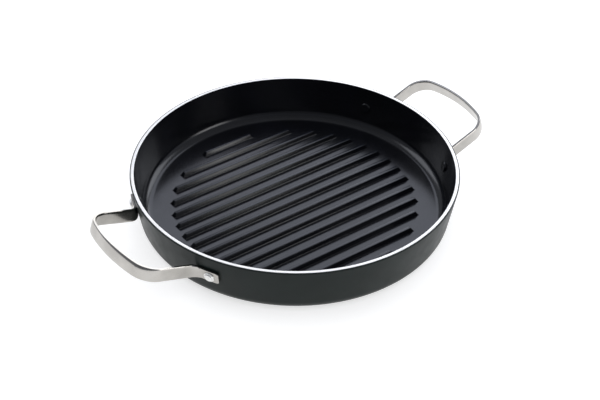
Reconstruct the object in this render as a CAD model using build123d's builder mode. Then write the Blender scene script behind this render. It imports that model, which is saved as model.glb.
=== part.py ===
from build123d import *
import math
import os

# Round grill pan: ribbed aluminium body with a bonded coat inside and out,
# an induction plate in the underside and two riveted loop handles.
# Origin at the centre of the base on the worktop, +Z up, handles along X.
os.makedirs("parts", exist_ok=True)

# Body sizes
rim_radius = 140.0
total_height = 45.5
wall_lean_in = 8.3
wall_thickness = 4.0
base_edge_radius = 12.3
floor_height = 7.5
floor_edge_radius = 9.0
rim_edge_radius = 1.3
coat_thickness = 0.3
bare_foot_height = 0.6

# Grill ribs
rib_pitch = 14.6
rib_end_margin = 14.57
shortest_rib = 40.0
rib_height = 3.8
rib_top_width = 2.8
rib_side_angle = 18.0

# Induction plate in the underside
plate_margin = 15.4
plate_thickness = 0.8
plate_hole_radius = 2.2
plate_hole_spacing = 13.0
first_ring_radius = 20.0
ring_spacing = 16.0
plate_border = 12.0

# Handles: a bowed loop of crowned strap with a tab on the wall at each foot
rivet_angle = 24.6
rivet_height = 26.8
strap_height = 12.0
strap_thickness = 3.2
strap_crown = 1.5
tab_thickness = 2.6
tab_past_rivet = 8.5
tab_corner_radius = 3.0
arm_spread = 44.0
loop_stand = 4.7
arm_root_overlap = 2.0
loop_reach = 52.0
loop_bow = 7.8
loop_corner_radius = 18.0
loop_tilt = 18.7
strap_edge_radius = 0.5

# Rivets
shank_radius = 3.0
flange_radius = 4.7
flange_height = 1.1
button_radius = 3.6
button_height = 1.0
inner_head_radius = 4.6
inner_head_height = 1.9
head_edge_radius = 0.45
seat_depth = 0.12

# Derived values
base_corner_radius = rim_radius - wall_lean_in
wall_slope = wall_lean_in / total_height
wall_angle = math.degrees(math.atan(wall_slope))
wall_gap = wall_thickness * math.cos(math.radians(wall_angle))
floor_metal = floor_height - coat_thickness
rim_flat_radius = rim_radius - rim_edge_radius / math.tan(math.radians(45.0 - wall_angle / 2))
side_shift = coat_thickness / math.cos(math.radians(rib_side_angle))
side_run = math.tan(math.radians(rib_side_angle))


def outer_radius(height, inset=0.0):
    """Radius of the outer wall at a height, moved in by an inset square to the wall."""
    across = inset / math.cos(math.radians(wall_angle))
    return base_corner_radius + wall_slope * height - across


def outer_outline(inset):
    """Face of the full outer shape, moved in by an inset, in the XZ plane."""
    top = total_height - inset
    with BuildSketch(Plane.XZ, mode=Mode.PRIVATE) as outline:
        with BuildLine():
            Polyline(
                (0, inset),
                (outer_radius(inset, inset), inset),
                (outer_radius(top, inset), top),
                (0, top),
                close=True,
            )
        make_face()
        low_corner = outline.vertices().group_by(Axis.Y)[0].sort_by(Axis.X)[-1:]
        fillet(low_corner, radius=base_edge_radius - inset)
        top_corner = outline.vertices().group_by(Axis.Y)[-1].sort_by(Axis.X)[-1:]
        fillet(top_corner, radius=rim_edge_radius - inset)
    return outline.sketch


def coat_outline():
    """Face of the outer coat, from the bare rim face down to the bare foot."""
    span = rim_radius + 20
    with BuildSketch(Plane.XZ, mode=Mode.PRIVATE) as outline:
        add(outer_outline(0.0))
        add(outer_outline(coat_thickness), mode=Mode.SUBTRACT)
        with Locations((span / 2, bare_foot_height - 5.0)):
            Rectangle(span, 10.0, mode=Mode.SUBTRACT)
        with Locations((rim_flat_radius / 2, total_height)):
            Rectangle(rim_flat_radius, 4 * coat_thickness, mode=Mode.SUBTRACT)
    return outline.sketch


def well_outline(inset):
    """Face of the space inside the pan, moved out by an inset, in the XZ plane."""
    top = total_height + 1.0
    low = floor_height - inset
    shift = wall_gap - inset
    with BuildSketch(Plane.XZ, mode=Mode.PRIVATE) as outline:
        with BuildLine():
            Polyline(
                (0, low),
                (outer_radius(low, shift), low),
                (outer_radius(top, shift), top),
                (0, top),
                close=True,
            )
        make_face()
        corner = outline.vertices().group_by(Axis.Y)[0].sort_by(Axis.X)[-1:]
        fillet(corner, radius=floor_edge_radius + inset)
    return outline.sketch


def add_ribs(grow, mode):
    """Row of ribs on the metal floor, each side moved out by grow, in a builder."""
    height = rib_height + grow
    base_width = rib_top_width + 2 * rib_height * side_run
    metal_base = base_width - 2 * side_shift + 2 * coat_thickness * side_run
    widening = 2 * grow / math.cos(math.radians(rib_side_angle))
    for number in range(-rib_rows_each_side, rib_rows_each_side + 1):
        across = number * rib_pitch
        length = 2 * math.sqrt(rib_field_radius**2 - across**2) - 2 * side_shift
        with BuildSketch(Plane.XY.offset(floor_metal)) as foot:
            with Locations((0, across)):
                Rectangle(length + widening, metal_base + widening)
        extrude(foot.sketch, amount=height, taper=rib_side_angle, mode=mode)


def wall_plane(angle, height):
    """Plane on the outer wall at an angle and height, its Z straight out of the wall."""
    turn = math.radians(angle)
    lean = math.radians(wall_angle)
    radius = outer_radius(height)
    out = (
        math.cos(turn) * math.cos(lean),
        math.sin(turn) * math.cos(lean),
        -math.sin(lean),
    )
    along = (-math.sin(turn), math.cos(turn), 0)
    spot = (radius * math.cos(turn), radius * math.sin(turn), height)
    return Plane(origin=spot, x_dir=along, z_dir=out)


def cut_rivet_holes(radius, start, end, angles):
    """Round cuts along the rivet axes between two distances from the outer wall."""
    for angle in angles:
        with BuildSketch(wall_plane(angle, rivet_height).offset(start)) as hole:
            Circle(radius)
        extrude(hole.sketch, amount=end - start, mode=Mode.SUBTRACT)


plate_radius = base_corner_radius - base_edge_radius - plate_margin
rib_field_radius = outer_radius(floor_height) - wall_thickness - floor_edge_radius - rib_end_margin
rib_rows_each_side = int(math.sqrt(rib_field_radius**2 - (shortest_rib / 2) ** 2) / rib_pitch)
arm_root_x = math.sqrt(outer_radius(rivet_height) ** 2 - arm_spread**2)
loop_foot_x = arm_root_x + loop_stand
left_angles = (180.0 - rivet_angle, 180.0 + rivet_angle)
right_angles = (-rivet_angle, rivet_angle)
all_angles = left_angles + right_angles
inner_seat = seat_depth - wall_gap
outer_seat = tab_thickness - seat_depth

# Aluminium body
with BuildPart() as pan_body:
    with BuildSketch(Plane.XZ):
        add(outer_outline(0.0))
        add(coat_outline(), mode=Mode.SUBTRACT)
        add(well_outline(coat_thickness), mode=Mode.SUBTRACT)
        with Locations((plate_radius / 2, 0)):
            Rectangle(plate_radius, plate_thickness * 2, mode=Mode.SUBTRACT)
    revolve(axis=Axis.Z)
    add_ribs(0.0, Mode.ADD)
    cut_rivet_holes(shank_radius, -wall_gap - 2.0, 1.0, all_angles)

# Coat over the inside, ribs included
with BuildPart() as ceramic_lining:
    with BuildSketch(Plane.XZ):
        add(well_outline(coat_thickness))
        add(well_outline(0.0), mode=Mode.SUBTRACT)
        with Locations((rim_radius / 2, total_height + 2.0)):
            Rectangle(rim_radius + 20, 4.0, mode=Mode.SUBTRACT)
    revolve(axis=Axis.Z)
    add_ribs(coat_thickness, Mode.ADD)
    add_ribs(0.0, Mode.SUBTRACT)
    cut_rivet_holes(shank_radius, -wall_gap - 2.0, 1.0, all_angles)
    cut_rivet_holes(inner_head_radius, -wall_gap - 3.0, inner_seat, all_angles)

# Coat over the outside
with BuildPart() as outer_coat:
    with BuildSketch(Plane.XZ):
        add(coat_outline())
    revolve(axis=Axis.Z)
    cut_rivet_holes(shank_radius, -1.0, 1.0, all_angles)

# Perforated steel plate flush with the base
with BuildPart() as induction_plate:
    with BuildSketch(Plane.XY):
        Circle(plate_radius)
        ring_rows = 1 + int((plate_radius - plate_border - first_ring_radius) / ring_spacing)
        for ring in range(ring_rows):
            ring_radius = first_ring_radius + ring * ring_spacing
            ring_count = int(2 * math.pi * ring_radius / plate_hole_spacing)
            with PolarLocations(ring_radius, ring_count):
                Circle(plate_hole_radius, mode=Mode.SUBTRACT)
    extrude(amount=plate_thickness)


def build_handle(label):
    """Loop handle on the +X side, its feet shaped to the outer wall."""
    tilt = math.radians(loop_tilt)
    loop_plane = Plane(
        origin=(loop_foot_x, 0, rivet_height),
        x_dir=(math.cos(tilt), 0, math.sin(tilt)),
        z_dir=(-math.sin(tilt), 0, math.cos(tilt)),
    )
    start = -loop_stand - arm_root_overlap
    with BuildPart() as handle:
        with BuildLine(loop_plane) as loop:
            first = Line((start, -arm_spread), (loop_reach - loop_bow, -arm_spread))
            grip = ThreePointArc(
                first @ 1,
                (loop_reach, 0),
                (loop_reach - loop_bow, arm_spread),
            )
            Line(grip @ 1, (start, arm_spread))
            corners = [v for v in loop.vertices() if v.X > loop_foot_x + 10]
            fillet(corners, radius=loop_corner_radius)
        path = loop.wires()[0]
        begin = path @ 0
        section_plane = Plane(origin=begin, x_dir=loop_plane.z_dir, z_dir=path % 0)
        with BuildSketch(section_plane) as section:
            with BuildLine():
                half = strap_height / 2
                flat = strap_thickness / 2
                side = flat - strap_crown
                sign = 1.0 if section_plane.y_dir.Y * begin.Y > 0 else -1.0
                back = Polyline(
                    (-half, sign * side),
                    (-half, -sign * flat),
                    (half, -sign * flat),
                    (half, sign * side),
                )
                ThreePointArc(back @ 1, (0, sign * flat), back @ 0)
            make_face()
            fillet(section.vertices(), radius=strap_edge_radius)
        sweep(path=path)
        # Tabs: wall-hugging strips from the arm out past each rivet
        low = rivet_height - strap_height / 2
        high = rivet_height + strap_height / 2
        outer = tab_thickness / math.cos(math.radians(wall_angle))
        inner_turn = math.degrees(math.asin((arm_spread - strap_thickness / 2) / rim_radius))
        outer_turn = rivet_angle + math.degrees(tab_past_rivet / rim_radius)
        for side_sign in (-1, 1):
            turn = inner_turn if side_sign > 0 else -outer_turn
            with BuildSketch(Plane.XZ.rotated((0, 0, turn))):
                with BuildLine():
                    Polyline(
                        (outer_radius(low), low),
                        (outer_radius(low) + outer, low),
                        (outer_radius(high) + outer, high),
                        (outer_radius(high), high),
                        close=True,
                    )
                make_face()
            revolve(axis=Axis.Z, revolution_arc=outer_turn - inner_turn)
        far_y = rim_radius * math.sin(math.radians(outer_turn)) - tab_corner_radius
        ends = handle.edges().filter_by(GeomType.LINE).filter_by(
            lambda edge: abs(edge.length - outer) < 0.01 and abs(edge.center().Y) > far_y
        )
        fillet(ends, radius=tab_corner_radius)
        with BuildSketch(Plane.XZ):
            add(outer_outline(0.0))
        revolve(axis=Axis.Z, mode=Mode.SUBTRACT)
        cut_rivet_holes(shank_radius, -1.0, tab_thickness + 1.0, right_angles)
        cut_rivet_holes(flange_radius, outer_seat, tab_thickness + 3.0, right_angles)
    handle.part.label = label
    return handle.part


def build_rivet(angle, label):
    """Rivet through tab and wall: stepped head outside, domed head inside."""
    seat = wall_plane(angle, rivet_height)
    with BuildPart() as rivet:
        with BuildSketch(seat.offset(inner_seat)):
            Circle(shank_radius)
        extrude(amount=outer_seat - inner_seat)
        with BuildSketch(seat.offset(outer_seat)):
            Circle(flange_radius)
        extrude(amount=flange_height)
        with BuildSketch(seat.offset(outer_seat + flange_height)):
            Circle(button_radius)
        extrude(amount=button_height)
        with BuildSketch(seat.offset(inner_seat)):
            Circle(inner_head_radius)
        extrude(amount=-inner_head_height)
        ends = rivet.faces().filter_by(GeomType.PLANE).sort_by(Axis(seat.origin, seat.z_dir))
        fillet(ends[0].edges(), radius=head_edge_radius * 2)
        fillet(ends[-1].edges(), radius=head_edge_radius)
    rivet.part.label = label
    return rivet.part


pan_body.part.label = "pan_body"
ceramic_lining.part.label = "ceramic_lining"
outer_coat.part.label = "outer_coat"
induction_plate.part.label = "induction_plate"
export_step(pan_body.part, "parts/pan_body.step")
export_step(ceramic_lining.part, "parts/ceramic_lining.step")
export_step(outer_coat.part, "parts/outer_coat.step")
export_step(induction_plate.part, "parts/induction_plate.step")

handle_right = build_handle("handle_right")
handle_left = Rot(0, 0, 180) * build_handle("handle_left")
handle_left.label = "handle_left"
export_step(handle_right, "parts/handle_right.step")
export_step(handle_left, "parts/handle_left.step")

rivet_names = ("rivet_left_rear", "rivet_left_front", "rivet_right_front", "rivet_right_rear")
for rivet_name, place in zip(rivet_names, all_angles):
    export_step(build_rivet(place, rivet_name), "parts/" + rivet_name + ".step")
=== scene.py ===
"""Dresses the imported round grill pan: coats, ribs, rim, loop handles and rivets."""

import logging
import math
from dataclasses import dataclass, replace
from enum import Enum
from typing import Any, Iterable, Sequence

import bmesh
import bpy
from mathutils import Matrix, Vector


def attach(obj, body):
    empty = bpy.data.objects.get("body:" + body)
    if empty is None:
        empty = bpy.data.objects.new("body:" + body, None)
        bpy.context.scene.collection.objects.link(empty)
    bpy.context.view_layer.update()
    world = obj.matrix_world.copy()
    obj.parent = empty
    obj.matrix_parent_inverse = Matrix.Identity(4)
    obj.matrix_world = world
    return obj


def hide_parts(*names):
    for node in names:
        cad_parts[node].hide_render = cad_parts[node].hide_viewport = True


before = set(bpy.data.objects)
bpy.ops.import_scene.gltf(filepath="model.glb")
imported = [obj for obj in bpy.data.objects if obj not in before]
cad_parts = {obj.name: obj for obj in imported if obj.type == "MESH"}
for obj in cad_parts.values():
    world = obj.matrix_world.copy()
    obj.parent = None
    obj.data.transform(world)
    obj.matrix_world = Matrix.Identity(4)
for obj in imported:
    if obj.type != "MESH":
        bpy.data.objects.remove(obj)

LOG = logging.getLogger("grill_pan")
MM = 0.001
BODY = "root"
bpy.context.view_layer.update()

# Distances in millimetres below which two corners are one, and a corner is on a line.
WELD = 1e-4
ON_LINE = 0.02

# Settings that every rounded edge shares.
ROUND = {"affect": "EDGES", "profile": 0.5, "material": -1, "clamp_overlap": True}

# Sockets of the colour half of a Mix node, which share their names with the other halves.
MIX_FACTOR, MIX_FIRST, MIX_SECOND, MIX_RESULT = 0, 6, 7, 2


class Slot(Enum):
    """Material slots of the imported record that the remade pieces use."""

    BARE = "bare_aluminium"
    INNER = "inner_coat"
    OUTER = "outer_coat"
    HANDLE = "handle_steel"
    RIVET = "rivet_metal"


class Side(Enum):
    """The two handles, by the turn that puts each one in place."""

    RIGHT = 0.0
    LEFT = 180.0


# ---------------------------------------------------------------- shading


def linear(code: str) -> tuple[float, float, float, float]:
    """Turns an sRGB hex colour to linear RGBA.

    Args:
        code: Six hex digits with a leading hash.

    Returns:
        The linear colour with an alpha of one.
    """
    parts = [int(code[i : i + 2], 16) / 255 for i in (1, 3, 5)]
    red, green, blue = (
        c / 12.92 if c <= 0.04045 else ((c + 0.055) / 1.055) ** 2.4 for c in parts
    )
    return red, green, blue, 1.0


def add_node(
    tree: bpy.types.NodeTree,
    kind: str,
    settings: dict[Any, Any] | None = None,
    links: dict[Any, bpy.types.NodeSocket] | None = None,
) -> bpy.types.Node:
    """Adds one node with its settings and incoming links.

    Args:
        tree: Node tree that takes the node.
        kind: Blender's name of the node type.
        settings: Values by lower-case attribute, or by name or number of an input.
        links: Sockets that feed the node, by name or number of an input.

    Returns:
        The new node.
    """
    node = tree.nodes.new(kind)
    given = settings or {}
    attributes = {key for key in given if isinstance(key, str) and key.islower()}
    for key in attributes:
        setattr(node, key, given[key])
    for key, value in given.items():
        if key not in attributes:
            node.inputs[key].default_value = value
    for key, socket in (links or {}).items():
        tree.links.new(socket, node.inputs[key])
    return node


def soft_noise(
    tree: bpy.types.NodeTree, place: bpy.types.NodeSocket, size_mm: float
) -> bpy.types.NodeSocket:
    """Soft noise with features of a given size.

    Args:
        tree: Node tree.
        place: Coordinates in metres.
        size_mm: Size of one feature.

    Returns:
        The noise value.
    """
    noise = add_node(
        tree,
        "ShaderNodeTexNoise",
        {"Scale": 1 / (size_mm * MM), "Detail": 3.0, "Roughness": 0.55},
        {"Vector": place},
    )
    return noise.outputs["Fac"]


@dataclass(frozen=True)
class Finish:
    """A surface finish: its name, two shades, limits of roughness and grain."""

    name: str
    colour: str
    second: str
    roughness: tuple[float, float]
    metallic: float = 0.0
    mottle_mm: float = 18.0
    sheen_share: float = 0.6
    grain_mm: float = 1.2
    grain_depth_mm: float = 0.02
    grain_strength: float = 0.1
    specular: float = 0.5
    glow: float = 0.0

    def material(self) -> bpy.types.Material:
        """Builds the material, or finds the one built before.

        Returns:
            The finished node material.
        """
        made = bpy.data.materials.get(self.name)
        if made:
            return made
        made = bpy.data.materials.new(self.name)
        made.use_nodes = True
        tree = made.node_tree
        tree.nodes.clear()
        place = add_node(tree, "ShaderNodeTexCoord").outputs["Object"]
        shader = add_node(
            tree,
            "ShaderNodeBsdfPrincipled",
            {
                "Metallic": self.metallic,
                "IOR": 1.5,
                "Specular IOR Level": self.specular,
                "Emission Color": linear(self.second),
                "Emission Strength": self.glow,
            },
            {
                "Base Color": self.tint(tree, place),
                "Roughness": self.sheen(tree, place),
                "Normal": self.relief(tree, place),
            },
        )
        surface = {"Surface": shader.outputs["BSDF"]}
        add_node(tree, "ShaderNodeOutputMaterial", links=surface)
        return made

    def tint(
        self, tree: bpy.types.NodeTree, place: bpy.types.NodeSocket
    ) -> bpy.types.NodeSocket:
        """Colour that drifts between the two shades of the finish.

        Args:
            tree: Node tree.
            place: Coordinates in metres.

        Returns:
            The colour.
        """
        drift = soft_noise(tree, place, self.mottle_mm)
        ramp = add_node(tree, "ShaderNodeValToRGB", links={"Fac": drift})
        dark, light = ramp.color_ramp.elements
        dark.position, light.position = 0.35, 0.65
        dark.color, light.color = linear(self.colour), linear(self.second)
        return ramp.outputs["Color"]

    def sheen(
        self, tree: bpy.types.NodeTree, place: bpy.types.NodeSocket
    ) -> bpy.types.NodeSocket:
        """Roughness that drifts between the two limits of the finish.

        Args:
            tree: Node tree.
            place: Coordinates in metres.

        Returns:
            The roughness.
        """
        smooth, rough = self.roughness
        spread = add_node(
            tree,
            "ShaderNodeMapRange",
            {"From Min": 0.3, "From Max": 0.7, "To Min": smooth, "To Max": rough},
            {"Value": soft_noise(tree, place, self.mottle_mm * self.sheen_share)},
        )
        return spread.outputs["Result"]

    def relief(
        self, tree: bpy.types.NodeTree, place: bpy.types.NodeSocket
    ) -> bpy.types.NodeSocket:
        """Fine bumps of the finish, by soft noise."""
        return self.bump(tree, soft_noise(tree, place, self.grain_mm))

    def bump(
        self, tree: bpy.types.NodeTree, height: bpy.types.NodeSocket
    ) -> bpy.types.NodeSocket:
        """Bumps of the finish's own depth.

        Args:
            tree: Node tree.
            height: Pattern of the bumps, from low to high.

        Returns:
            The bumped normal.
        """
        bumps = add_node(
            tree,
            "ShaderNodeBump",
            {"Strength": self.grain_strength, "Distance": self.grain_depth_mm * MM},
            {"Height": height},
        )
        return bumps.outputs["Normal"]


@dataclass(frozen=True)
class RibbedCoat(Finish):
    """Film over a ribbed floor, with a painted highlight at the height of the rib tops."""

    # Painted highlight: a lighter shade of the film at the rib-top height, standing for the
    # light line that the rib tops catch.
    painted_highlight: str = "#101218"
    rib_top_mm: float = 11.2
    highlight_depth_mm: float = 0.5
    highlight_end_mm: tuple[float, float] = (0.4, 0.8)

    def tint(
        self, tree: bpy.types.NodeTree, place: bpy.types.NodeSocket
    ) -> bpy.types.NodeSocket:
        """Colour of the film, with a painted highlight in the band of heights round the rib
        tops.

        Args:
            tree: Node tree.
            place: Coordinates in metres.

        Returns:
            The colour.
        """
        film = super().tint(tree, place)
        parts = add_node(tree, "ShaderNodeSeparateXYZ", links={"Vector": place})
        start, end = (self.rib_top_mm + up for up in self.highlight_end_mm)
        below = self.rib_top_mm - self.highlight_depth_mm
        rise = self.fade(tree, parts.outputs["Z"], (below, self.rib_top_mm), (0.0, 1.0))
        fall = self.fade(tree, parts.outputs["Z"], (start, end), (1.0, 0.0))
        # Painted highlight: the lighter shade is mixed in over the band of rib-top heights.
        highlight_mask = add_node(
            tree, "ShaderNodeMath", {"operation": "MULTIPLY"}, {0: rise, 1: fall}
        )
        mix = add_node(
            tree,
            "ShaderNodeMix",
            {"data_type": "RGBA", MIX_SECOND: linear(self.painted_highlight)},
            {MIX_FACTOR: highlight_mask.outputs["Value"], MIX_FIRST: film},
        )
        return mix.outputs[MIX_RESULT]

    def fade(
        self,
        tree: bpy.types.NodeTree,
        height: bpy.types.NodeSocket,
        span_mm: tuple[float, float],
        ends: tuple[float, float],
    ) -> bpy.types.NodeSocket:
        """Even change between two heights.

        Args:
            tree: Node tree.
            height: Height above the base in metres.
            span_mm: Heights where the change starts and ends.
            ends: Values at the start and at the end.

        Returns:
            The changing value.
        """
        ramp = add_node(
            tree,
            "ShaderNodeMapRange",
            {
                "From Min": span_mm[0] * MM,
                "From Max": span_mm[1] * MM,
                "To Min": ends[0],
                "To Max": ends[1],
            },
            {"Value": height},
        )
        return ramp.outputs["Result"]


@dataclass(frozen=True)
class TurnedMetal(Finish):
    """Metal faced on a lathe: fine rings round the middle of the pan."""

    ring_mm: float = 0.55

    def relief(
        self, tree: bpy.types.NodeTree, place: bpy.types.NodeSocket
    ) -> bpy.types.NodeSocket:
        """Rings of the turning tool, drawn coarser than life so that they show.

        Args:
            tree: Node tree.
            place: Coordinates in metres.

        Returns:
            The bumped normal.
        """
        flat = add_node(
            tree,
            "ShaderNodeVectorMath",
            {"operation": "MULTIPLY", 1: (1.0, 1.0, 0.0)},
            {0: place},
        )
        reach = add_node(
            tree,
            "ShaderNodeVectorMath",
            {"operation": "LENGTH"},
            {0: flat.outputs["Vector"]},
        )
        turns = add_node(
            tree,
            "ShaderNodeMath",
            {"operation": "MULTIPLY", 1: math.tau / (self.ring_mm * MM)},
            {0: reach.outputs["Value"]},
        )
        wave = add_node(
            tree, "ShaderNodeMath", {"operation": "SINE"}, {0: turns.outputs["Value"]}
        )
        return self.bump(tree, wave.outputs["Value"])


@dataclass(frozen=True)
class BrushedStrap(Finish):
    """Metal strap brushed along its length, with the lines in the loop's own plane."""

    tilt: float = 18.7
    line_mm: float = 0.45
    stretch: float = 0.012

    def relief(
        self, tree: bpy.types.NodeTree, place: bpy.types.NodeSocket
    ) -> bpy.types.NodeSocket:
        """Long scratches: noise squeezed across the strap and stretched along it.

        Args:
            tree: Node tree.
            place: Coordinates in metres.

        Returns:
            The bumped normal.
        """
        turned = add_node(
            tree,
            "ShaderNodeMapping",
            {
                "Rotation": (0.0, math.radians(self.tilt), 0.0),
                "Scale": (self.stretch, self.stretch, 1.0),
            },
            {"Vector": place},
        )
        scratches = soft_noise(tree, turned.outputs["Vector"], self.line_mm)
        return self.bump(tree, scratches)


# Ceramic non-stick, sprayed and baked: a smooth, nearly black film that mirrors the room
# softly. The ripple that spraying leaves is finer than 1.6 mm and is drawn coarser to show.
CERAMIC = RibbedCoat(
    "ceramic_nonstick",
    "#07080b",
    "#0a0b10",
    (0.16, 0.22),
    mottle_mm=30.0,
    grain_mm=1.6,
    grain_depth_mm=0.01,
    grain_strength=0.12,
)

# Satin enamel on the outside: a dull green-black that greys where it is seen at a slant.
# Its grit is a few hundredths of a millimetre and is drawn at 0.7 mm to show.
ENAMEL = Finish(
    "satin_enamel",
    "#0a1412",
    "#0d1816",
    (0.34, 0.44),
    mottle_mm=22.0,
    grain_mm=0.7,
    grain_depth_mm=0.015,
    grain_strength=0.15,
    specular=0.19,
)

# Aluminium faced on a lathe after coating: a pale band whose rings spread the light. The
# part that isn't metallic stands for the oxide haze, which keeps the rim from going dark.
RIM = TurnedMetal(
    "turned_aluminium",
    "#f2f0ec",
    "#f8f6f2",
    (0.3, 0.4),
    metallic=0.75,
    mottle_mm=9.0,
    grain_depth_mm=0.025,
    grain_strength=0.8,
)

# Magnetic stainless steel pressed into the base and turned flat: mid grey with wide rings.
BASE = TurnedMetal(
    "turned_base_steel",
    "#9b9a97",
    "#a8a6a2",
    (0.28, 0.42),
    metallic=1.0,
    mottle_mm=14.0,
    grain_depth_mm=0.01,
    grain_strength=0.3,
    ring_mm=0.8,
)

# Stainless strap, brushed lightly and buffed: a warm grey mirror, blurred a little more
# across the lines. The lines are finer than 0.45 mm and are drawn at that to show.
STRAP_RIGHT = BrushedStrap(
    "satin_stainless_right",
    "#a9a6a1",
    "#b9b6b1",
    (0.12, 0.2),
    metallic=1.0,
    mottle_mm=26.0,
    grain_depth_mm=0.006,
    grain_strength=0.3,
)
STRAP_LEFT = replace(STRAP_RIGHT, name="satin_stainless_left", tilt=-STRAP_RIGHT.tilt)

# Aluminium rivet, upset by a die: paler and duller than the strap, with small dents.
RIVET = Finish(
    "peened_aluminium",
    "#e4e4e2",
    "#eeeeec",
    (0.38, 0.48),
    metallic=0.85,
    mottle_mm=3.0,
    grain_mm=0.6,
    grain_depth_mm=0.01,
    grain_strength=0.12,
)

# Matt white paper, lit from behind as a photographer's table is, so it stays white.
PAPER = Finish(
    "studio_paper",
    "#c6c6c6",
    "#cacaca",
    (0.85, 0.95),
    mottle_mm=120.0,
    grain_mm=2.0,
    grain_depth_mm=0.01,
    grain_strength=0.05,
    glow=1.1,
)


# ---------------------------------------------------------------- meshes


def finish_piece(
    name: str,
    form: bmesh.types.BMesh,
    finish: Finish,
    slot: Slot | None = None,
    stands_for: Iterable[str] = (),
    crease: float = 32.0,
) -> bpy.types.Object:
    """Turns a bmesh to a piece of the pan.

    Args:
        name: Piece name.
        form: The bmesh, in millimetres. It is freed.
        finish: Finish of the whole piece.
        slot: Record slot of the piece; a piece with one rides on the pan's body. None is
            for the table.
        stands_for: CAD nodes that the piece replaces.
        crease: Angle in degrees above which an edge stays sharp.

    Returns:
        The new object, riding on the pan's one body where it has a slot.
    """
    bmesh.ops.transform(form, matrix=Matrix.Scale(MM, 4), verts=form.verts)
    bmesh.ops.recalc_face_normals(form, faces=form.faces)
    mesh = bpy.data.meshes.new(name)
    form.to_mesh(mesh)
    form.free()
    mesh.shade_smooth()
    mesh.set_sharp_from_angle(angle=math.radians(crease))
    mesh.materials.append(finish.material())
    piece = bpy.data.objects.new(name, mesh)
    bpy.context.scene.collection.objects.link(piece)
    if slot:
        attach(piece, BODY)
    if stands_for:
        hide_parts(*stands_for)
    LOG.info("%s: %d faces", name, len(mesh.polygons))
    return piece


def lathe(
    form: bmesh.types.BMesh, outline: Sequence[tuple[float, float]], steps: int
) -> None:
    """Spins a closed outline of radius and height round the Z axis.

    Args:
        form: Bmesh that takes the shape.
        outline: Corners as radius and height, in order round the section.
        steps: Steps of the full turn.
    """
    corners = [
        bmesh.ops.create_vert(form, co=(radius, 0.0, height))["vert"][0]
        for radius, height in outline
    ]
    edges = [
        form.edges.new(pair)
        for pair in zip(corners, corners[1:] + corners[:1])
        if max(vert.co.x for vert in pair) > WELD
    ]
    bmesh.ops.spin(
        form,
        geom=corners + edges,
        cent=(0, 0, 0),
        axis=(0, 0, 1),
        angle=math.tau,
        steps=steps,
        use_merge=True,
    )
    bmesh.ops.remove_doubles(form, verts=form.verts, dist=WELD)


def round_ring(
    form: bmesh.types.BMesh, radius: float, height: float, reach: float, segments: int
) -> None:
    """Rounds the ring of edges at one radius and height.

    Args:
        form: Bmesh with the spun shape.
        radius: Radius of the ring.
        height: Height of the ring.
        reach: Distance from the ring to where the rounding ends.
        segments: Faces across the rounding.
    """

    def on_ring(vert: bmesh.types.BMVert) -> bool:
        """Whether a vertex lies on the ring."""
        off = (vert.co.xy.length - radius, vert.co.z - height)
        return all(abs(distance) < ON_LINE for distance in off)

    ring = [e for e in form.edges if all(on_ring(v) for v in e.verts)]
    bmesh.ops.bevel(form, geom=ring, offset=reach, segments=segments, **ROUND)


def sweep(
    form: bmesh.types.BMesh,
    ring: list[bmesh.types.BMEdge],
    places: Sequence[tuple[Matrix, float]],
) -> list[bmesh.types.BMEdge]:
    """Extrudes a ring of edges through a row of placements.

    Args:
        form: Bmesh that holds the ring.
        ring: Edges of the section, already at the first placement.
        places: Placement of each section, and how far out its crown may reach.

    Returns:
        The edges of the last section.
    """
    for (before, _), (after, crown) in zip(places, places[1:]):
        made = bmesh.ops.extrude_edge_only(form, edges=ring)["geom"]
        verts = {g for g in made if isinstance(g, bmesh.types.BMVert)}
        ring = [
            g
            for g in made
            if isinstance(g, bmesh.types.BMEdge) and verts.issuperset(g.verts)
        ]
        back = before.inverted()
        for vert in verts:
            local = back @ vert.co
            local.x = min(local.x, crown)
            vert.co = after @ local
    return ring


# ---------------------------------------------------------------- the pan


@dataclass
class PanWall:
    """Leaning wall of the pan, as the CAD has it, in millimetres."""

    rim_radius: float = 140.0
    base_radius: float = 131.7
    height: float = 45.5
    thickness: float = 4.0
    coat: float = 0.3
    floor: float = 7.5
    floor_corner: float = 9.0
    base_corner: float = 12.3
    rim_corner: float = 1.3
    bare_foot: float = 0.6
    steps: int = 240
    floor_corner_steps: int = 12
    base_corner_steps: int = 14
    rim_corner_steps: int = 6

    @property
    def lean(self) -> float:
        """Angle of the wall from upright, in radians."""
        return math.atan((self.rim_radius - self.base_radius) / self.height)

    def outer(self, z: float, inset: float = 0.0) -> float:
        """Outer radius at a height, moved in by an inset square to the wall."""
        slope = math.tan(self.lean)
        return self.base_radius + slope * z - inset / math.cos(self.lean)

    def inner(self, z: float, inset: float = 0.0) -> float:
        """Radius of the well at a height, moved out by an inset square to the wall."""
        return self.outer(z) - self.thickness + inset / math.cos(self.lean)

    def blunt_reach(self, radius: float) -> float:
        """Reach of a rounding at the wall's blunt corners, by floor and base."""
        return radius / math.tan(math.radians(45.0) + self.lean / 2)

    def sharp_reach(self, radius: float) -> float:
        """Reach of a rounding at the wall's sharp corner, by the rim."""
        return radius / math.tan(math.radians(45.0) - self.lean / 2)

    def place(self, angle: float, height: float) -> Matrix:
        """Placement on the outer wall: Z out of the wall, X round it, Y up it.

        Args:
            angle: Angle round the pan in degrees.
            height: Height above the base.

        Returns:
            The placement matrix.
        """
        turn = Matrix.Rotation(math.radians(angle), 4, "Z")
        spot = Matrix.Translation((self.outer(height), 0.0, height))
        out = Vector((math.cos(self.lean), 0.0, -math.sin(self.lean)))
        along = Vector((0.0, 1.0, 0.0))
        basis = Matrix((along, out.cross(along), out)).transposed().to_4x4()
        return turn @ spot @ basis


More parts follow.
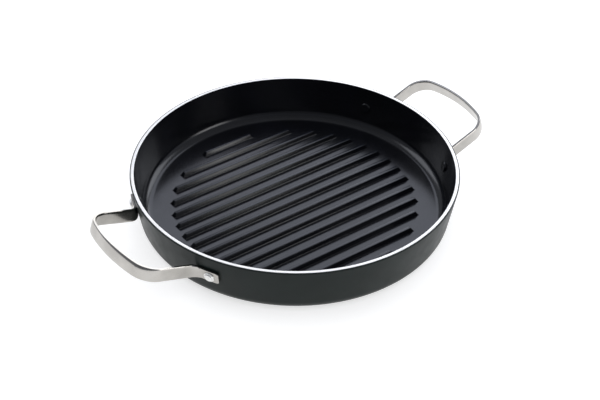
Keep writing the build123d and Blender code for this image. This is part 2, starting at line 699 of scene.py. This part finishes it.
@dataclass
class CoatedWell:
    """Inside of the pan: the ceramic coat and the ribs that it covers."""

    wall: PanWall
    floor_ring: float = 60.0
    rib_count: int = 15
    rib_pitch: float = 14.6
    rib_field: float = 105.5
    rib_height: float = 3.8
    rib_top: float = 2.8
    side_angle: float = 19.0
    end_angle: float = 34.0
    foot_radius: float = 0.6
    foot_flare: tuple[float, float] = (0.35, 0.55)
    foot_share: float = 0.6
    foot_sunk: float = 0.05
    top_radius: float = 0.35
    edge_steps: int = 3
    rib_crease: float = 60.0

    def build(self) -> list[bpy.types.Object]:
        """Builds the coat and its ribs."""
        return [self.coat(), self.ribs()]

    def coat(self) -> bpy.types.Object:
        """Thin coat over floor and wall, up to the bare rim.

        Returns:
            The piece.
        """
        wall = self.wall
        low = wall.floor - wall.coat
        form = bmesh.new()
        lathe(
            form,
            [
                (0.0, wall.floor),
                (self.floor_ring, wall.floor),
                (wall.inner(wall.floor), wall.floor),
                (wall.inner(wall.height), wall.height),
                (wall.inner(wall.height, wall.coat), wall.height),
                (wall.inner(low, wall.coat), low),
                (0.0, low),
            ],
            wall.steps,
        )
        steps = wall.floor_corner_steps
        reach = wall.blunt_reach(wall.floor_corner)
        under_reach = wall.blunt_reach(wall.floor_corner + wall.coat)
        round_ring(form, wall.inner(wall.floor), wall.floor, reach, steps)
        round_ring(form, wall.inner(low, wall.coat), low, under_reach, steps)
        return finish_piece("coated_well", form, CERAMIC, Slot.INNER, ["ceramic_lining"])

    def ribs(self) -> bpy.types.Object:
        """Row of straight ribs that ends on a circle.

        Returns:
            The piece.
        """
        form = bmesh.new()
        for number in range(self.rib_count):
            across = (number - (self.rib_count - 1) / 2) * self.rib_pitch
            self.rib(form, across, math.sqrt(self.rib_field**2 - across**2))
        return finish_piece(
            "grill_ribs", form, CERAMIC, Slot.INNER, crease=self.rib_crease
        )

    def rib(self, form: bmesh.types.BMesh, across: float, half: float) -> None:
        """Adds one rib with sloped sides, flatter ends and a flared foot.

        Args:
            form: Bmesh that takes the rib.
            across: Place of the rib across the pan.
            half: Half its length at the floor.
        """
        run = math.tan(math.radians(self.side_angle))
        end_run = math.tan(math.radians(self.end_angle))
        lift = self.foot_radius
        made = bmesh.ops.create_cube(form, size=1.0)["verts"]
        for vert in made:
            level = self.rib_height if vert.co.z > 0 else lift
            wide = self.rib_top / 2 + run * (self.rib_height - level)
            long = half - end_run * level
            vert.co = (
                math.copysign(long, vert.co.x),
                math.copysign(wide, vert.co.y) + across,
                self.wall.floor + level,
            )
        low = [f for f in {f for v in made for f in v.link_faces} if f.normal.z < -0.5]
        bmesh.ops.delete(form, geom=low, context="FACES_ONLY")
        foot = [e for e in {e for v in made for e in v.link_edges} if e.is_boundary]
        skirt = bmesh.ops.extrude_edge_only(form, edges=foot)["geom"]
        end_flare, side_flare = self.foot_flare
        for vert in (g for g in skirt if isinstance(g, bmesh.types.BMVert)):
            vert.co.x += math.copysign(lift * (end_run + end_flare), vert.co.x)
            vert.co.y += math.copysign(lift * (run + side_flare), vert.co.y - across)
            vert.co.z = self.wall.floor - self.foot_sunk
        self.round_rib(form, made, across)

    def round_rib(
        self, form: bmesh.types.BMesh, made: list[bmesh.types.BMVert], across: float
    ) -> None:
        """Rounds the edges of one rib, and the bend into its foot.

        Args:
            form: Bmesh that holds the rib.
            made: Corners of the rib above its foot.
            across: Place of the rib across the pan.
        """
        bend_height = self.wall.floor + self.foot_radius
        edges = {e for v in made for e in v.link_edges}
        top = [e for e in edges if all(v.co.z > bend_height + ON_LINE for v in e.verts)]
        upright = [
            e
            for e in edges
            if abs(e.verts[0].co.z - e.verts[1].co.z) > self.rib_height / 2
        ]
        bmesh.ops.bevel(
            form,
            geom=upright + top,
            offset=self.top_radius,
            segments=self.edge_steps,
            **ROUND,
        )
        bend = [
            e
            for e in form.edges
            if all(abs(v.co.z - bend_height) < ON_LINE for v in e.verts)
            and abs(e.verts[0].co.y - across) < self.rib_pitch / 2
        ]
        bmesh.ops.bevel(
            form,
            geom=bend,
            offset=self.foot_radius * self.foot_share,
            segments=self.edge_steps,
            **ROUND,
        )


@dataclass
class OuterSkin:
    """Coat over the outside, from the bare rim face down to the bare foot.

    It is spun with a lip over the rim and a floor under the base. Both are then cut
    away, so that it ends at the bare metal.
    """

    wall: PanWall
    lip: float = 4.0
    lip_depth: float = 2.0
    under_radius: float = 110.0

    def build(self) -> bpy.types.Object:
        """Builds the outer coat.

        Returns:
            The piece.
        """
        wall = self.wall
        coat = wall.coat
        lip = wall.rim_radius - self.lip
        inside_top = wall.height - coat
        form = bmesh.new()
        lathe(
            form,
            [
                (lip, wall.height),
                (wall.outer(wall.height), wall.height),
                (wall.outer(0.0), 0.0),
                (self.under_radius, 0.0),
                (self.under_radius, coat),
                (wall.outer(coat, coat), coat),
                (wall.outer(inside_top, coat), inside_top),
                (lip, inside_top),
            ],
            wall.steps,
        )
        rim_reach = wall.sharp_reach(wall.rim_corner)
        reach = wall.blunt_reach(wall.base_corner)
        inner_reach = wall.blunt_reach(wall.base_corner - coat)
        steps = wall.base_corner_steps
        rim = wall.outer(wall.height)
        round_ring(form, rim, wall.height, rim_reach, wall.rim_corner_steps)
        round_ring(form, wall.outer(0.0), 0.0, reach, steps)
        round_ring(form, wall.outer(coat, coat), coat, inner_reach, steps)
        self.cut(form, rim - rim_reach)
        return finish_piece("outer_skin", form, ENAMEL, Slot.OUTER, ["outer_coat"])

    def cut(self, form: bmesh.types.BMesh, rim_face: float) -> None:
        """Cuts off what lies under the bare foot and over the bare rim face.

        Args:
            form: Bmesh with the spun coat.
            rim_face: Outer radius of the flat rim face.
        """
        wall = self.wall
        bmesh.ops.bisect_plane(
            form,
            geom=form.verts[:] + form.edges[:] + form.faces[:],
            dist=1e-5,
            plane_co=(0, 0, wall.bare_foot),
            plane_no=(0, 0, 1),
            clear_inner=True,
        )
        lip = [
            v
            for v in form.verts
            if v.co.xy.length < rim_face - ON_LINE / 2
            and v.co.z > wall.height - self.lip_depth
        ]
        bmesh.ops.delete(form, geom=lip, context="VERTS")
        open_edges = [e for e in form.edges if e.is_boundary]
        low = [e for e in open_edges if e.verts[0].co.z < wall.height / 2]
        high = [e for e in open_edges if e.verts[0].co.z > wall.height / 2]
        for edges in (low, high):
            bmesh.ops.bridge_loops(form, edges=edges)


@dataclass
class LoopHandle:
    """Bowed loop of crowned strap, bent at each foot on to the wall."""

    wall: PanWall
    side: Side
    finish: Finish
    rivet_angle: float = 24.6
    rivet_height: float = 26.8
    spread: float = 44.0
    foot_x: float = 134.0
    reach: float = 51.3
    bow: float = 7.8
    corner: float = 18.0
    tilt: float = 18.7
    strap_height: float = 11.8
    strap_thick: float = 3.2
    back_share: float = 0.42
    edge_power: float = 0.55
    edge_flat: float = 1.1
    end_round: float = 0.4
    tab_crown: float = 1.26
    tab_past: float = 8.5
    tab_corner: float = 3.0
    knuckle: float = 6.5
    seat_gap: float = 0.02
    section_steps: int = 48
    bow_steps: int = 8
    corner_steps: int = 16
    knuckle_steps: int = 12
    tab_steps: int = 4
    tip_steps: int = 8

    def build(self) -> bpy.types.Object:
        """Builds one handle: half of it is swept, then mirrored.

        Returns:
            The piece.
        """
        form = bmesh.new()
        places = self.grip() + self.foot()
        ring = self.section(form)
        bmesh.ops.transform(form, matrix=places[0][0], verts=form.verts)
        last = sweep(form, ring, places)
        bmesh.ops.contextual_create(form, geom=last)
        bmesh.ops.bevel(form, geom=last, offset=self.end_round, segments=3, **ROUND)
        bmesh.ops.mirror(
            form,
            geom=form.verts[:] + form.edges[:] + form.faces[:],
            matrix=Matrix.Identity(4),
            merge_dist=WELD,
            axis="Y",
        )
        bmesh.ops.remove_doubles(form, verts=form.verts, dist=WELD)
        turn = Matrix.Rotation(math.radians(self.side.value), 4, "Z")
        bmesh.ops.transform(form, matrix=turn, verts=form.verts)
        side = self.side.name.lower()
        nodes = [f"handle_{side}"]
        return finish_piece(f"loop_{side}", form, self.finish, Slot.HANDLE, nodes, 40.0)

    def section(self, form: bmesh.types.BMesh) -> list[bmesh.types.BMEdge]:
        """Makes the crowned section: X out of the loop, Y across the strap.

        Args:
            form: Bmesh that takes the section.

        Returns:
            The ring of edges.
        """
        made = bmesh.ops.create_circle(
            form, cap_ends=False, radius=1.0, segments=self.section_steps
        )["verts"]
        for vert in made:
            depth = vert.co.x * self.strap_thick / 2
            share = min(abs(vert.co.y) ** self.edge_power * self.edge_flat, 1.0)
            full = math.copysign(share, vert.co.y) * self.strap_height / 2
            vert.co = (max(depth, -self.back), full, 0.0)
        return list({e for v in made for e in v.link_edges})

    @property
    def back(self) -> float:
        """Distance from the path to the flat back of the strap."""
        return self.strap_thick * self.back_share

    def plane(self) -> Matrix:
        """Placement of the loop's plane: X out of the pan, Y along the wall.

        Returns:
            The placement matrix.
        """
        tilt = math.radians(self.tilt)
        along = Vector((math.cos(tilt), 0.0, math.sin(tilt)))
        up = Vector((-math.sin(tilt), 0.0, math.cos(tilt)))
        turn = Matrix((along, (0, 1, 0), up)).transposed().to_4x4()
        return Matrix.Translation((self.foot_x, 0.0, self.rivet_height)) @ turn

    def at(self, u: float, v: float, angle: float) -> tuple[Matrix, float]:
        """Placement in the loop's plane.

        Args:
            u: Distance out of the pan.
            v: Distance along the wall.
            angle: Angle of the section's outer side, in degrees.

        Returns:
            The placement, and a reach that leaves the crown full.
        """
        turn = Matrix.Rotation(math.radians(angle), 4, "Z")
        upright = Matrix.Rotation(math.radians(90.0), 4, "X")
        spot = Matrix.Translation((u, v, 0.0))
        return self.plane() @ spot @ turn @ upright, self.strap_thick

    def grip(self) -> list[tuple[Matrix, float]]:
        """Placements from the middle of the bowed grip round the front corner.

        Returns:
            The placements in order.
        """
        arc = (self.spread**2 + self.bow**2) / (2 * self.bow)
        centre = self.reach - arc
        drop = self.spread - self.corner
        corner_u = centre + math.sqrt((arc - self.corner) ** 2 - drop**2)
        bowed = math.degrees(math.asin(drop / (arc - self.corner)))
        places = []
        for step in range(self.bow_steps + 1):
            angle = -bowed * step / self.bow_steps
            turn = math.radians(angle)
            u, v = centre + arc * math.cos(turn), arc * math.sin(turn)
            places.append(self.at(u, v, angle))
        for step in range(1, self.corner_steps + 1):
            angle = -bowed - (90.0 - bowed) * step / self.corner_steps
            turn = math.radians(angle)
            u = corner_u + self.corner * math.cos(turn)
            v = -drop + self.corner * math.sin(turn)
            places.append(self.at(u, v, angle))
        return places

    def on_wall(self, angle: float, narrow: float = 1.0) -> Matrix:
        """Placement of the strap lying on the wall.

        Args:
            angle: Angle round the pan in degrees.
            narrow: Share of the full strap height.

        Returns:
            The placement.
        """
        seat = self.wall.place(angle, self.rivet_height)
        swap = Matrix(((0, 0, -1), (0, 1, 0), (1, 0, 0))).to_4x4()
        lift = Matrix.Translation((0.0, 0.0, self.back + self.seat_gap))
        return seat @ lift @ swap @ Matrix.Diagonal((1.0, narrow, 1.0, 1.0))

    def foot(self) -> list[tuple[Matrix, float]]:
        """Placements of the knuckle, the tab past the rivet and its rounded tip.

        Returns:
            The placements in order.
        """
        radius = self.wall.outer(self.rivet_height) + self.back
        start = -math.degrees(math.asin(self.spread / radius) + self.knuckle / radius)
        end = -self.rivet_angle - math.degrees(self.tab_past / radius)
        rounding = math.degrees(self.tab_corner / radius)
        places = self.knuckle_bend(radius, start)
        for step in range(1, self.tab_steps + 1):
            angle = start + (end + rounding - start) * step / self.tab_steps
            places.append((self.on_wall(angle), self.tab_crown))
        for step in range(1, self.tip_steps + 1):
            share = math.radians(90.0 * step / self.tip_steps)
            lost = 2 * self.tab_corner * (1 - math.cos(share)) / self.strap_height
            angle = end + rounding * (1 - math.sin(share))
            places.append((self.on_wall(angle, 1 - lost), self.tab_crown))
        return places

    def knuckle_bend(self, radius: float, start: float) -> list[tuple[Matrix, float]]:
        """Placements where the arm turns on to the wall and loses its crown.

        Args:
            radius: Radius of the strap's path round the wall.
            start: Angle round the pan where the strap lies on the wall, in degrees.

        Returns:
            The placements in order.
        """
        root = math.sqrt(radius**2 - self.spread**2)
        root_u = (root - self.foot_x) / math.cos(math.radians(self.tilt))
        bend = self.plane() @ Vector((root_u, -self.spread, 0.0))
        before = self.at(root_u + self.knuckle, -self.spread, -90.0)[0]
        after = self.on_wall(start)
        first, last = before.to_quaternion(), after.to_quaternion()
        places = []
        for step in range(self.knuckle_steps + 1):
            t = step / self.knuckle_steps
            ends = before.translation * (1 - t) ** 2 + after.translation * t**2
            spot = Matrix.Translation(ends + bend * 2 * t * (1 - t))
            crown = self.strap_thick * (1 - t) + self.tab_crown * t
            places.append((spot @ first.slerp(last, t).to_matrix().to_4x4(), crown))
        return places


@dataclass
class Rivet:
    """Set rivet: stepped bare head outside, coated domed head inside."""

    wall: PanWall
    angle: float
    node: str
    height: float = 26.8
    shank: float = 3.0
    tab_thick: float = 2.6
    flange: tuple[float, float] = (4.7, 1.1)
    button: tuple[float, float] = (3.6, 1.0)
    dome: tuple[float, float] = (4.6, 1.9)
    sunk: float = 0.1
    outer_shank: float = 1.5
    inner_shank: float = 1.0
    flange_edge: float = 0.45
    button_edge: float = 0.6
    step_corner: float = 0.2
    dome_edge: float = 1.3
    steps: int = 40

    def build(self) -> list[bpy.types.Object]:
        """Builds the two heads."""
        return [self.head(), self.cap()]

    def head(self) -> bpy.types.Object:
        """Bare head on the tab: a flange with a smaller button on it.

        Returns:
            The piece.
        """
        top = self.tab_thick - self.sunk
        mid = top + self.flange[1]
        high = mid + self.button[1]
        form = bmesh.new()
        lathe(
            form,
            [
                (0.0, top - self.outer_shank),
                (self.shank, top - self.outer_shank),
                (self.shank, top),
                (self.flange[0], top),
                (self.flange[0], mid),
                (self.button[0], mid),
                (self.button[0], high),
                (0.0, high),
            ],
            self.steps,
        )
        round_ring(form, self.flange[0], mid, self.flange_edge, 4)
        round_ring(form, self.button[0], high, self.button_edge, 5)
        round_ring(form, self.button[0], mid, self.step_corner, 3)
        return self.set_in("head", form, RIVET, Slot.RIVET, [self.node])

    def cap(self) -> bpy.types.Object:
        """Low domed head in the well, under the same coat as the wall.

        Returns:
            The piece.
        """
        seat = self.sunk - self.wall.thickness * math.cos(self.wall.lean)
        form = bmesh.new()
        lathe(
            form,
            [
                (0.0, seat + self.inner_shank),
                (self.shank, seat + self.inner_shank),
                (self.shank, seat),
                (self.dome[0], seat),
                (self.dome[0], seat - self.dome[1]),
                (0.0, seat - self.dome[1]),
            ],
            self.steps,
        )
        round_ring(form, self.dome[0], seat - self.dome[1], self.dome_edge, 7)
        return self.set_in("coated_head", form, CERAMIC, Slot.INNER, [])

    def set_in(
        self,
        kind: str,
        form: bmesh.types.BMesh,
        finish: Finish,
        slot: Slot,
        nodes: list[str],
    ) -> bpy.types.Object:
        """Moves a head to its seat in the wall and finishes it.

        Args:
            kind: Kind of head, for the piece's name.
            form: Bmesh of the head, with Z out of the wall.
            finish: Finish of the head.
            slot: Record slot of the head.
            nodes: CAD nodes that it replaces.

        Returns:
            The piece.
        """
        seat = self.wall.place(self.angle, self.height)
        bmesh.ops.transform(form, matrix=seat, verts=form.verts)
        name = self.node.replace("rivet", kind)
        return finish_piece(name, form, finish, slot, nodes, 40.0)


@dataclass
class BareBody:
    """Aluminium under the coats. It shows at the flat rim and at the foot."""

    wall: PanWall
    plate_radius: float = 104.0
    plate_gap: float = 0.05
    plate_depth: float = 0.8
    inner_rim_edge: float = 0.15

    def build(self) -> bpy.types.Object:
        """Builds the bare body as one turned shell.

        Returns:
            The piece.
        """
        wall = self.wall
        coat = wall.coat
        floor = wall.floor - coat
        recess = self.plate_radius + self.plate_gap
        form = bmesh.new()
        lathe(
            form,
            [
                (0.0, floor),
                (wall.inner(floor, coat), floor),
                (wall.inner(wall.height, coat), wall.height),
                (wall.outer(wall.height, coat), wall.height),
                (wall.outer(0.0, coat), 0.0),
                (recess, 0.0),
                (recess, self.plate_depth),
                (0.0, self.plate_depth),
            ],
            wall.steps,
        )
        floor_reach = wall.blunt_reach(wall.floor_corner + coat)
        rim_reach = wall.sharp_reach(wall.rim_corner - coat)
        base_reach = wall.blunt_reach(wall.base_corner - coat)
        rim, lip = wall.outer(wall.height, coat), wall.inner(wall.height, coat)
        base_steps = wall.base_corner_steps
        round_ring(
            form, wall.inner(floor, coat), floor, floor_reach, wall.floor_corner_steps
        )
        round_ring(form, rim, wall.height, rim_reach, wall.rim_corner_steps)
        round_ring(form, lip, wall.height, self.inner_rim_edge, 3)
        round_ring(form, wall.outer(0.0, coat), 0.0, base_reach, base_steps)
        return finish_piece("bare_body", form, RIM, Slot.BARE, ["pan_body"])


@dataclass
class BasePlate:
    """Perforated steel disc in the underside, which keeps its CAD shape."""

    node: str = "induction_plate"

    def dress(self) -> None:
        """Gives the plate its turned steel."""
        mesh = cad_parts[self.node].data
        mesh.materials.clear()
        mesh.materials.append(BASE.material())
        LOG.info("%s: dressed as %s", self.node, BASE.name)


# ---------------------------------------------------------------- studio


@dataclass(frozen=True)
class Softbox:
    """Square soft light that faces the pan from a bearing and a height, in degrees."""

    name: str
    bearing: float
    lift: float
    edge: float
    glow: float
    tint: str = "#ffffff"
    mirrored: bool = True
    distance: float = 1.6

    def build(self) -> None:
        """Adds the lamp. Its glow is what a mirror of it would show."""
        lamp = bpy.data.lights.new(self.name, "AREA")
        lamp.size = self.edge
        lamp.energy = self.glow * math.pi * self.edge**2
        lamp.color = linear(self.tint)[:3]
        holder = bpy.data.objects.new(self.name, lamp)
        bearing, lift = math.radians(self.bearing), math.radians(self.lift)
        level = math.cos(lift)
        way = Vector(
            (math.cos(bearing) * level, math.sin(bearing) * level, math.sin(lift))
        )
        holder.location = way * self.distance
        holder.rotation_euler = (-way).to_track_quat("-Z", "Y").to_euler()
        holder.visible_glossy = self.mirrored
        holder.visible_camera = False
        bpy.context.scene.collection.objects.link(holder)


@dataclass
class Studio:
    """White sweep of paper, soft light from all sides and the photograph's camera.

    The big box overhead only lights. The others are also mirrored in metal and coats.
    """

    boxes: tuple[Softbox, ...] = (
        Softbox("back_window", 47.0, 38.0, 0.9, 1.4, "#e8eeff"),
        Softbox("back_strip", 42.0, 12.0, 0.7, 2.0),
        Softbox("right_box", 8.0, 26.0, 0.8, 2.2, "#f2f6ff"),
        Softbox("left_box", 112.0, 34.0, 0.8, 2.0, "#f2f6ff"),
        Softbox("front_right_box", -60.0, 15.0, 0.7, 3.0),
        Softbox("overhead", 0.0, 88.0, 3.0, 1.05, mirrored=False),
    )
    room: tuple[float, float] = (0.16, 0.5)
    room_bearing: float = 38.0
    room_tint: str = "#eef3ff"
    paper_size: float = 6000.0
    lens: float = 95.11
    sensor: float = 36.0
    sight: float = 50.0
    azimuth: float = -36.76
    elevation: float = 37.69
    roll: float = 0.739
    stand_mm: tuple[float, float, float] = (-642.94, -868.45, 845.13)

    def build(self) -> None:
        """Sets out paper, room light, boxes and camera."""
        self.paper()
        self.world()
        for box in self.boxes:
            box.build()
        self.camera()

    def paper(self) -> None:
        """Wide sheet of pale paper under the pan."""
        form = bmesh.new()
        bmesh.ops.create_grid(form, x_segments=2, y_segments=2, size=self.paper_size)
        finish_piece("paper", form, PAPER)

    def world(self) -> None:
        """Dim room light, darker on the side where the camera stands at first."""
        world = bpy.data.worlds.new("room")
        bpy.context.scene.world = world
        world.use_nodes = True
        tree = world.node_tree
        tree.nodes.clear()
        way = math.radians(self.room_bearing)
        towards = add_node(
            tree,
            "ShaderNodeVectorMath",
            {"operation": "DOT_PRODUCT", 1: (math.cos(way), math.sin(way), 0.0)},
            {0: add_node(tree, "ShaderNodeTexCoord").outputs["Generated"]},
        )
        dim, bright = self.room
        strength = add_node(
            tree,
            "ShaderNodeMapRange",
            {"From Min": -1.0, "From Max": 1.0, "To Min": dim, "To Max": bright},
            {"Value": towards.outputs["Value"]},
        )
        light = add_node(
            tree,
            "ShaderNodeBackground",
            {"Color": linear(self.room_tint)},
            {"Strength": strength.outputs["Result"]},
        )
        surface = {"Surface": light.outputs["Background"]}
        add_node(tree, "ShaderNodeOutputWorld", links=surface)

    def camera(self) -> None:
        """Camera at the photograph's view."""
        lens = bpy.data.cameras.new("view")
        lens.lens = self.lens
        lens.sensor_width = self.sensor
        lens.clip_end = self.sight
        holder = bpy.data.objects.new("view", lens)
        turn = Matrix.Rotation(math.radians(self.azimuth), 4, "Z")
        tip = Matrix.Rotation(math.radians(90.0 - self.elevation), 4, "X")
        roll = Matrix.Rotation(math.radians(self.roll), 4, "Z")
        spot = Matrix.Translation(Vector(self.stand_mm) * MM)
        holder.matrix_world = spot @ turn @ tip @ roll
        bpy.context.scene.collection.objects.link(holder)
        bpy.context.scene.camera = holder


# Angle round the pan of each rivet node, in degrees.
RIVETS = {
    "rivet_left_rear": 155.4,
    "rivet_left_front": 204.6,
    "rivet_right_front": -24.6,
    "rivet_right_rear": 24.6,
}


def main() -> None:
    """Builds every piece in order, reports it, and sets out the studio."""
    logging.basicConfig(level=logging.INFO, format="%(name)s %(message)s")
    bpy.context.scene.view_settings.view_transform = "Standard"
    wall = PanWall()
    BasePlate().dress()
    BareBody(wall).build()
    OuterSkin(wall).build()
    CoatedWell(wall).build()
    LoopHandle(wall, Side.RIGHT, STRAP_RIGHT).build()
    LoopHandle(wall, Side.LEFT, STRAP_LEFT).build()
    for node, angle in RIVETS.items():
        Rivet(wall, angle, node).build()
    Studio().build()


if __name__ == "__main__":
    main()
